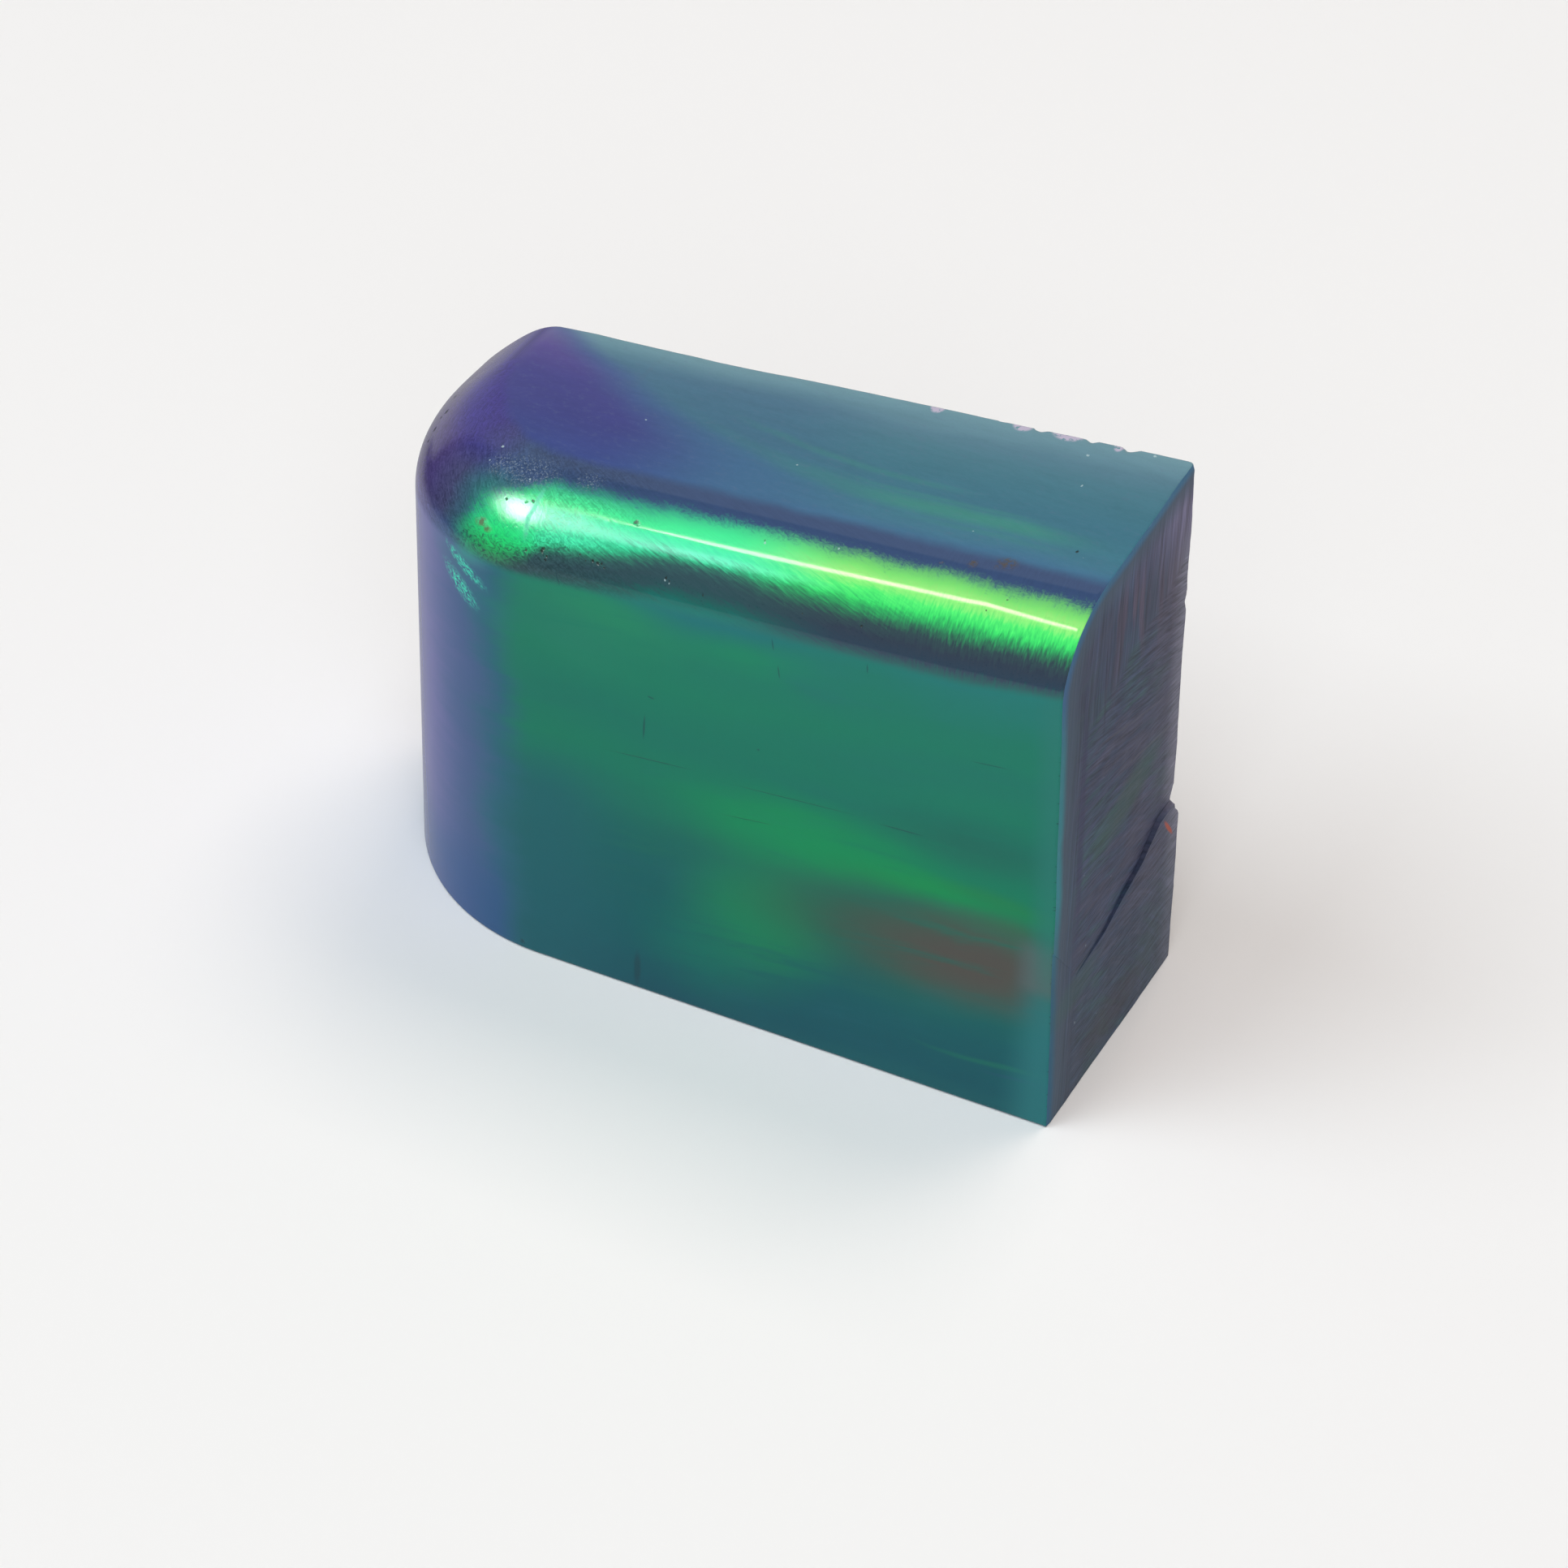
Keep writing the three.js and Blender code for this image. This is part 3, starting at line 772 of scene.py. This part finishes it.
def polishedSkin():
    material, shader, place = newFinish("polishedSkin")
    x = place.node("ShaderNodeSeparateXYZ", {}, {0: place})
    y, z = x.output(1), x.output(2)
    along = endX - x
    depth = y - front
    rim = attribute(place, "rimAngle")
    turn = attribute(place, "turn")
    cloud = place.clouds((7, 5, 4))
    streak = place.clouds((8, 3, 0.9), (0, -6, 0), 3, 0.6, 0.4)

    # painted light: brightens the paint of the walls round the corner and on the rounded end, for light that
    # the lamps don't give there
    paintedLightGain = turn.rise(5, 50) * 0.3 + turn.rise(38, 50) * 0.1 + 0.97
    walls = cornerColour(frontColour(place, along, z, cloud, streak), turn, z, cloud, streak).lit(paintedLightGain)
    roundRim = along.least(stone["length"] - stone["cornerRadius"]) + turn * skin["cornerWidth"]
    sheet, *patterns = rimPatterns(roundRim, rim)
    fibre, waves, swirls, hairs = patterns
    colour = walls.mixed(rim.rise(1, 8), rimBands(along, roundRim, rim, turn, paintedLightGain, patterns))
    top = topColour(place, along, depth, cloud, streak)
    colour = colour.mixed((rim + (waves - 0.5) * 6).rise(80, 89), top)
    # a darker crease crosses the rim where the corner starts
    crease = abs(roundRim - 27.05 + (waves - 0.5) * 0.5).rise(0.2, 0.03) * rim.rise(20, 36) * rim.rise(64, 54)
    # a patch of painted sheen round the corner: the opal's green flash where the lamp's light strikes
    greenSheen = sheet.spot((28.4, 1.7, 0), (1.6, 0.95, 1), (0, 0, -20), 0.7)
    colour = colour.under((crease * 0.6, (0.02, 0.5, 0.33)),
                          (greenSheen * swirls.rise(0.3, 0.6) * 0.65, (0.02, 0.7, 0.15)))
    colour = cornerGlints(colour, turn, z)

    # marks: scuffs, pits, flecks and dirt, most with ragged edges
    grit = place.clouds((0.22, 0.22, 0.22), detail=3, rough=0.7)
    ragged = place.moved(grit.output(1), 0.22).placed(at=(0.11, 0.11, 0.11))
    pit = anyOf([ragged.speck(at, radius) for at, radius in skin["pits"]])
    scored = anyOf([strokeMask(place, *scratch) for scratch in skin["scratches"]])
    fleck = anyOf([ragged.speck(at, radius) for at, radius in skin["flecks"]])
    dirt = anyOf([ragged.spot(at, size, soft=0.6) for at, size in skin["dirt"]])
    frost = anyOf([ragged.spot(at, size, soft=0.8) for at, size in skin["frost"]])
    frost = frost * place.clouds((0.1, 0.1, 0.1), detail=4, rough=0.8).rise(0.5, 0.66)
    speckle = rim.rise(6, 14) * rim.rise(34, 24) * place.clouds((0.12, 0.12, 0.12), detail=2).rise(0.62, 0.72)
    nicks = along.rise(0.2, 0.05) * z.rise(24, 20) * place.clouds((3, 3, 0.2), detail=1).rise(0.62, 0.68)
    colour = colour.under(
        ((speckle * 0.25).most(nicks * 0.6), (0.012, 0.03, 0.05)),
        (scored * 0.5, (0.006, 0.05, 0.07)),
        (frost * 0.55, (0.32, 0.42, 0.46)),
        (pit * grit.rise(0.28, 0.5) * 0.9, (0.006, 0.015, 0.012)),
        (dirt * grit.rise(0.4, 0.55) * 0.8, (0.09, 0.068, 0.035)),
        (fleck * 0.75, (0.45, 0.6, 0.62)),
    )
    broken = attribute(place, "chip").rise(0.01, 0.05)
    feed(brokenEdge(colour, place, depth, grit, broken), shader, "Base Color")

    shader.inputs["IOR"].default_value = skin["ior"]
    atCorner = roundRim.rise(21, 26)
    dull = skin["roughness"] + atCorner * 0.08 + frost * 0.35 + dirt * 0.4 + broken * 0.3
    feed(dull + pit * 0.3 + scored * 0.2 + crease * 0.3, shader, "Roughness")
    leathery = (swirls + hairs * 0.4) * atCorner * rim.rise(5, 15)
    relief = fibre * 0.06 + leathery * 1.3 - pit * 5 - scored * 1.5 + frost * 0.8
    feed(relief.bumped(0.007, 0.6), shader, "Normal")
    return material


sawn = {
    "roughness": 0.5,
    "ior": 1.45,
    "gloss": 0.35,
    "strokeWidth": 0.12,  # of a saw mark, in millimetres
    "strokeLength": 1.5,
    "moss": (0.046, 0.115, 0.12),
    "slate": (0.052, 0.085, 0.135),
    "violet": (0.058, 0.068, 0.135),
    "plum": (0.08, 0.072, 0.122),
    # on the end: depth and height, half sizes, tilt, strength, colour
    "patches": (
        ((7.7, 14.2), (3.2, 1.1), -12, 0.5, (0.045, 0.13, 0.1)),
        ((2.4, 6.6), (2.2, 0.9), -8, 0.4, (0.045, 0.13, 0.12)),
        ((2.5, 17.0), (0.3, 7), 0, 0.5, (0.04, 0.036, 0.12)),
        ((8.4, 21.6), (2.8, 0.08), 14, 0.5, (0.03, 0.03, 0.06)),
        ((10.5, 15.4), (3.6, 0.07), 16, 0.35, (0.14, 0.14, 0.17)),
        ((8.2, 18.4), (4.2, 0.07), 20, 0.3, (0.14, 0.14, 0.17)),
        ((4.5, 23.0), (0.08, 2.6), 0, 0.5, (0.03, 0.025, 0.06)),
        ((6.6, 1.9), (3.2, 1.1), 0, 0.4, (0.065, 0.05, 0.062)),
    ),
    # pale specks on the end: depth and height, and radius
    "specks": (
        ((2.6, 4.47), 0.07), ((7.92, 4.87), 0.06), ((5.0, 3.07), 0.05), ((3.54, 8.44), 0.06),
        ((4.7, 17.6), 0.04), ((3.0, 13.1), 0.04), ((9.1, 7.3), 0.05), ((6.1, 10.6), 0.04),
    ),
}


def sawMarks(place, across, up, centre):
    # slate and plum stone, and the arcs that the saw left in it, fine and broad
    first = place.node("ShaderNodeSeparateXYZ", {}, {0: place})
    axes = [first, first.output(1), first.output(2)]
    side = axes[across] - centre[0]
    high = axes[up] - centre[1]
    far = (side * side + high * high) ** 0.5
    bearing = side.maths("ARCTAN2", side, high)
    drawn = far.joined(bearing * 20)
    fine = drawn.clouds((sawn["strokeWidth"], sawn["strokeLength"], 1), (0, 0, 3), 3, 0.65)
    broad = drawn.clouds((0.5, 6, 1), (0, 0, -2), 3, 0.6)
    cloud = place.clouds((4, 4, 5), detail=3)
    colour = (cloud + (broad - 0.5) * 0.9).ramp(
        (0.3, sawn["moss"]), (0.43, sawn["slate"]), (0.54, sawn["violet"]), (0.68, sawn["plum"]))
    return first, colour, fine, broad, cloud


def struck(colour, fine, broad):
    # the marks of the saw are partly paler and partly darker than the stone
    paler = broad.rise(0.5, 0.7) * 0.2 + fine.rise(0.5, 0.68) * 0.4
    return colour.lit(paler - fine.rise(0.5, 0.34) * 0.4 + 1)


def closeSawn(material, shader, colour, fine, broad):
    feed(colour, shader, "Base Color")
    for socket, value in (("Roughness", "roughness"), ("IOR", "ior"), ("Specular IOR Level", "gloss")):
        shader.inputs[socket].default_value = sawn[value]
    feed((fine + broad * 1.5).bumped(0.03, 0.5), shader, "Normal")
    return material


def skinBorder(place, colour, z, cloud):
    # painted glow: just under its polished skin the stone is lit blue-green by light coming through the thin
    # edge
    near = attribute(place, "skinDepth") + (cloud - 0.5) * 0.3
    edge = z.ramp(
        (0, (0.028, 0.13, 0.24)), (9, (0.035, 0.15, 0.24)), (14, (0.026, 0.28, 0.34)),
        (22, (0.03, 0.25, 0.31)), (25.5, (0.045, 0.15, 0.33)), (29.5, (0.04, 0.18, 0.33)))
    return colour.under((near.rise(2.3, 0.6) * 0.85, (0.066, 0.112, 0.17)), (near.rise(0.8, 0.12), edge))


def endDetails(place, colour, depth, z, cloud):
    # cloudy patches, single saw strokes, pale specks, painted shadow in the seam's step with a painted
    # highlight on the ledge below it, an orange chip at its upper end
    for at, size, tilt, strength, paint in sawn["patches"]:
        mask = place.spot((endX, front + at[0], at[1]), (2, *size), (-tilt, 0, 0), 0.5)
        colour = colour.mixed(mask * strength, paint)
    for at, radius in sawn["specks"]:
        colour = colour.mixed(place.speck((endX, front + at[0], at[1]), radius) * 0.6, (0.35, 0.4, 0.42))
    above = attribute(place, "seamRise")
    # painted shadow inside the step of the seam, and a painted highlight on the ledge just below it
    seamShadow = above.rise(0.1, 0.01) * above.rise(-0.05, -0.02) * depth.rise(2.0, 4.5) * depth.rise(13.0, 11.5)
    ledgeHighlight = above.rise(-0.05, -0.09) * above.rise(-0.22, -0.1) * depth.rise(2.0, 4.0) * depth.rise(10.5, 8)
    return colour.under(
        (seamShadow * (cloud.rise(0.35, 0.6) * 0.25 + 0.35), (0.01, 0.018, 0.04)),
        (ledgeHighlight * 0.5, (0.04, 0.08, 0.2)),
        (place.spot((endX, front + 12.05, 8.95), (2, 0.8, 0.11), (-56, 0, 0), 0.4), (0.5, 0.1, 0.06)),
    )


def sawnEnd():
    material, shader, place = newFinish("sawnEnd")
    x, colour, fine, broad, cloud = sawMarks(place, 1, 2, (front, -4.5))
    depth = x.output(1) - front
    z = x.output(2)

    # a second set of marks, upright, at the top and just behind the skin
    uprightMarks = place.clouds((1, 0.16, 5), (-4, 0, 0), 3, 0.6)
    uprightZone = (z - 20.6 - depth * 0.3 + (cloud - 0.5) * 2).rise(-0.4, 0.4)
    uprightZone = uprightZone.most(depth.rise(2.9, 1.6))
    # the marks of the blade lie flatter in the lower stone than in the upper
    wander = z + (cloud - 0.5) * 5
    lower, middle, upper = (place.clouds((1, length, sawn["strokeWidth"]), (tilt, 0, 0), 3, 0.65)
                            for length, tilt in ((1.5, -2), (1.6, -10), (1.8, -19)))
    fine = lower + (middle - lower) * wander.rise(10, 12.5)
    fine = fine + (upper - fine) * wander.rise(16.5, 19)
    fine = fine + (uprightMarks - fine) * uprightZone
    broad = broad + (0.5 - broad) * uprightZone
    rosy = place.clouds((1, 0.9, 9), detail=2)
    slate = rosy.ramp((0.36, (0.05, 0.085, 0.15)), (0.48, (0.058, 0.072, 0.14)), (0.6, (0.064, 0.07, 0.13)))
    rosyTop = (z + (cloud - 0.5) * 4).rise(20, 25) * depth.rise(4, 7) * rosy.rise(0.46, 0.6)
    head = depth.ramp((4, (0.095, 0.16, 0.3)), (8, (0.12, 0.12, 0.24)), (13, (0.24, 0.2, 0.33)))
    colour = colour.under(
        (uprightZone * 0.7, slate),
        (rosyTop * 0.75, (0.15, 0.09, 0.14)),
        # towards the back the stone is paler and rosier
        ((depth + (cloud - 0.5) * 2.5).rise(7.5, 13) * 0.7, (0.14, 0.115, 0.165)),
        (depth.rise(11.4, 13.1) * 0.85, (0.3, 0.28, 0.36)),
        ((z + depth * 0.3).rise(27.5, 31) * 0.9, head),
        (z.rise(9.5, 3) * 0.5, (0.052, 0.078, 0.104)),
        (0.25, (0.03, 0.075, 0.16)),
    )
    colour = skinBorder(place, struck(colour, fine, broad), z, cloud)
    return closeSawn(material, shader, endDetails(place, colour, depth, z, cloud), fine, broad)


def sawnHidden(name, across, up, centre):
    # the back and the bottom, which the photograph doesn't show, sawn as the end is
    material, shader, place = newFinish(name)
    x, colour, fine, broad, cloud = sawMarks(place, across, up, centre)
    colour = skinBorder(place, struck(colour, fine, broad), x.output(2), cloud)
    colour = colour.mixed(attribute(place, "chip").rise(0.01, 0.05) * 0.6, (0.14, 0.22, 0.28))
    return closeSawn(material, shader, colour, fine, broad)


# in the order of the numbers in boxSides
finishes = (polishedSkin(), sawnEnd(), sawnHidden("sawnBack", 0, 2, (-30, -60)),
            sawnHidden("sawnBottom", 0, 1, (40, -55)))
for finish in finishes:
    mesh.materials.append(finish)
print("finishes made:", len(mesh.materials))

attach(opal, "root")
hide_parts("opal_block")


# Studio: pale floor, a dim room, four soft lights, and the panels that the polished skin mirrors

studio = {
    "floorTone": 0.895,
    "lightsAt": 2.0,  # metres from the middle of the stone
    "lightsAim": 0.02,  # its height
    "room": 0.095,
    "key": {"towards": (-0.42, -0.38, 0.82), "size": (1.2, 1.2), "watts": 17.5, "tint": (0.86, 0.95, 1.0)},
    "fill": {"towards": (0.15, 0.36, 0.92), "size": (0.9, 0.8), "watts": 13.4, "tint": (1.0, 0.84, 0.74)},
    "front": {"towards": (0.33, -0.65, 0.68), "size": (1.2, 1.2), "watts": 10.5, "tint": (0.94, 0.98, 1.0)},
    "overhead": {"towards": (0.1, -0.2, 0.97), "size": (0.8, 0.8), "watts": 8.5, "tint": (1, 1, 1)},
}
mirrored = {
    "wall": {"distance": 0.5, "width": 2.4, "height": 1.11, "glow": 0.58},
    "floor": {"left": -0.065, "near": -0.09, "up": 2e-5, "glow": 0.45},
    "panelsAt": 0.5,  # metres from the stone
    "glint": {"ends": ((-0.8, -0.4, 0.45), (-0.46, -0.44, 0.77)), "width": 0.3, "glow": 55.0,
              "fades": (0, 1), "tint": (1, 1, 1)},
    "tail": {"ends": ((-0.62, -0.48, 0.62), (-0.43, -0.51, 0.74)), "width": 0.2, "glow": 26.0,
             "fades": (0.1, 1), "tint": (0.7, 1, 1.15)},
    "tube": {"ends": ((-0.474, -0.333, 0.815), (-0.375, -0.207, 0.904)), "width": 0.019, "glow": 28.0,
             "fades": None, "tint": (1, 0.97, 0.72)},
}


def plainMaterial(name, tone, glow=0.0):
    material = bpy.data.materials.new(name)
    material.use_nodes = True
    shader = material.node_tree.nodes["Principled BSDF"]
    shader.inputs["Base Color"].default_value = (tone, tone, tone, 1)
    shader.inputs["Roughness"].default_value = 0.9
    shader.inputs["Specular IOR Level"].default_value = 0.1
    if glow:
        shader.inputs["Emission Color"].default_value = (1, 1, 1, 1)
        shader.inputs["Emission Strength"].default_value = glow
    return material


def sheetOf(name, corners, material):
    sheet = bpy.data.meshes.new(name)
    sheet.from_pydata(corners, [], [(0, 1, 2, 3)])
    thing = bpy.data.objects.new(name, sheet)
    sheet.materials.append(material)
    scene.collection.objects.link(thing)
    return thing


def mirrorPanel(name, corners, glow):
    # seen in the polished skin only
    thing = sheetOf(name, corners, plainMaterial(name + "Glow", 0.0, glow))
    thing.visible_camera = False
    thing.visible_diffuse = False
    thing.visible_shadow = False
    thing.visible_transmission = False


def facing(towards):
    # the sideways and upward directions of a panel that faces the stone
    towards = Vector(towards).normalized()
    sideways = (Vector((1, 0, 0)) - towards * towards.x).normalized()
    return sideways, towards.cross(sideways), towards


def softLight(name, about):
    lamp = bpy.data.lights.new(name, "AREA")
    lamp.shape = "RECTANGLE"
    lamp.size, lamp.size_y = about["size"]
    lamp.energy = about["watts"]
    lamp.color = about["tint"]
    thing = bpy.data.objects.new(name, lamp)
    sideways, upward, towards = facing(about["towards"])
    thing.location = towards * studio["lightsAt"] + Vector((0, 0, studio["lightsAim"]))
    thing.rotation_euler = Matrix((sideways, upward, towards)).transposed().to_euler()
    thing.visible_glossy = False
    scene.collection.objects.link(thing)


def fadeOut(material, middle, lengthwise, crosswise, fades, tint):
    # a panel that is bright in its middle and fades towards its rim, as a cloth-covered lamp does
    shader = material.node_tree.nodes["Principled BSDF"]
    start = Wire(material.node_tree, None)
    metres = start.node("ShaderNodeTexCoord", {}, {}, 3)
    place = start.vectors("SUBTRACT", metres, middle)
    along, across = (start.vectors("DOT_PRODUCT", place, direction / direction.length_squared, output=1)
                     for direction in (lengthwise, crosswise))
    far = (along * along + across * across) ** 0.5
    share = far.rise(fades[1], fades[0]) if fades else 1.0
    glow = start.node("ShaderNodeMix", {"data_type": "RGBA"},
                      {"Factor": share, 6: (0, 0, 0, 1), 7: (*tint, 1)}, 2)
    feed(glow, shader, "Emission Color")


paper = plainMaterial("palePaper", studio["floorTone"])
floor = sheetOf("floor", [(-2, -2, 0), (2, -2, 0), (2, 2, 0), (-2, 2, 0)], paper)
floor.visible_glossy = False
for lightName in ("key", "fill", "front", "overhead"):
    softLight(lightName + "Light", studio[lightName])
world = bpy.data.worlds.new("room")
scene.world = world
world.use_nodes = True
world.node_tree.nodes["Background"].inputs[0].default_value = (1, 1, 1, 1)
world.node_tree.nodes["Background"].inputs[1].default_value = studio["room"]
world.cycles_visibility.glossy = False

wall = mirrored["wall"]
side, away, high = wall["width"] / 2, wall["distance"], wall["height"]
corners = [(-side, away, -0.3), (side, away, -0.3), (side, away, high), (-side, away, high)]
mirrorPanel("wall", corners, wall["glow"])
shine = mirrored["floor"]
left, near, up = shine["left"], shine["near"], shine["up"]
mirrorPanel("shine", [(left, near, up), (2, near, up), (2, 2, up), (left, 2, up)], shine["glow"])
for panelName in ("glint", "tail", "tube"):
    panel = mirrored[panelName]
    first, last = (Vector(end).normalized() * mirrored["panelsAt"] for end in panel["ends"])
    middle = (first + last) / 2
    lengthwise = (last - first) / 2
    crosswise = middle.cross(lengthwise).normalized() * panel["width"] / 2
    mirrorPanel(panelName, [middle - lengthwise - crosswise, middle + lengthwise - crosswise,
                            middle + lengthwise + crosswise, middle - lengthwise + crosswise], panel["glow"])
    glowing = bpy.data.materials[panelName + "Glow"]
    fadeOut(glowing, middle, lengthwise, crosswise, panel["fades"], panel["tint"])
print("studio made")

# Camera, where the photograph was taken from
viewpoint = {"azimuth": 26.65, "elevation": 40.95, "place": (103.22, -202.80, 206.09), "focal": 8000 / 1932}
azimuth = math.radians(viewpoint["azimuth"])
elevation = math.radians(viewpoint["elevation"])
level = math.cos(elevation)
backward = Vector((math.sin(azimuth) * level, -math.cos(azimuth) * level, math.sin(elevation)))
sideward = Vector((math.cos(azimuth), math.sin(azimuth), 0))
upward = backward.cross(sideward)
lens = bpy.data.cameras.new("camera")
lens.sensor_width = 36
lens.lens = 36 * viewpoint["focal"]
lens.clip_start = 0.005
lens.clip_end = 20
camera = bpy.data.objects.new("camera", lens)
turned = Matrix((sideward, upward, backward)).transposed().to_4x4()
camera.matrix_world = Matrix.Translation(Vector(viewpoint["place"]) * mm) @ turned
scene.collection.objects.link(camera)
scene.camera = camera
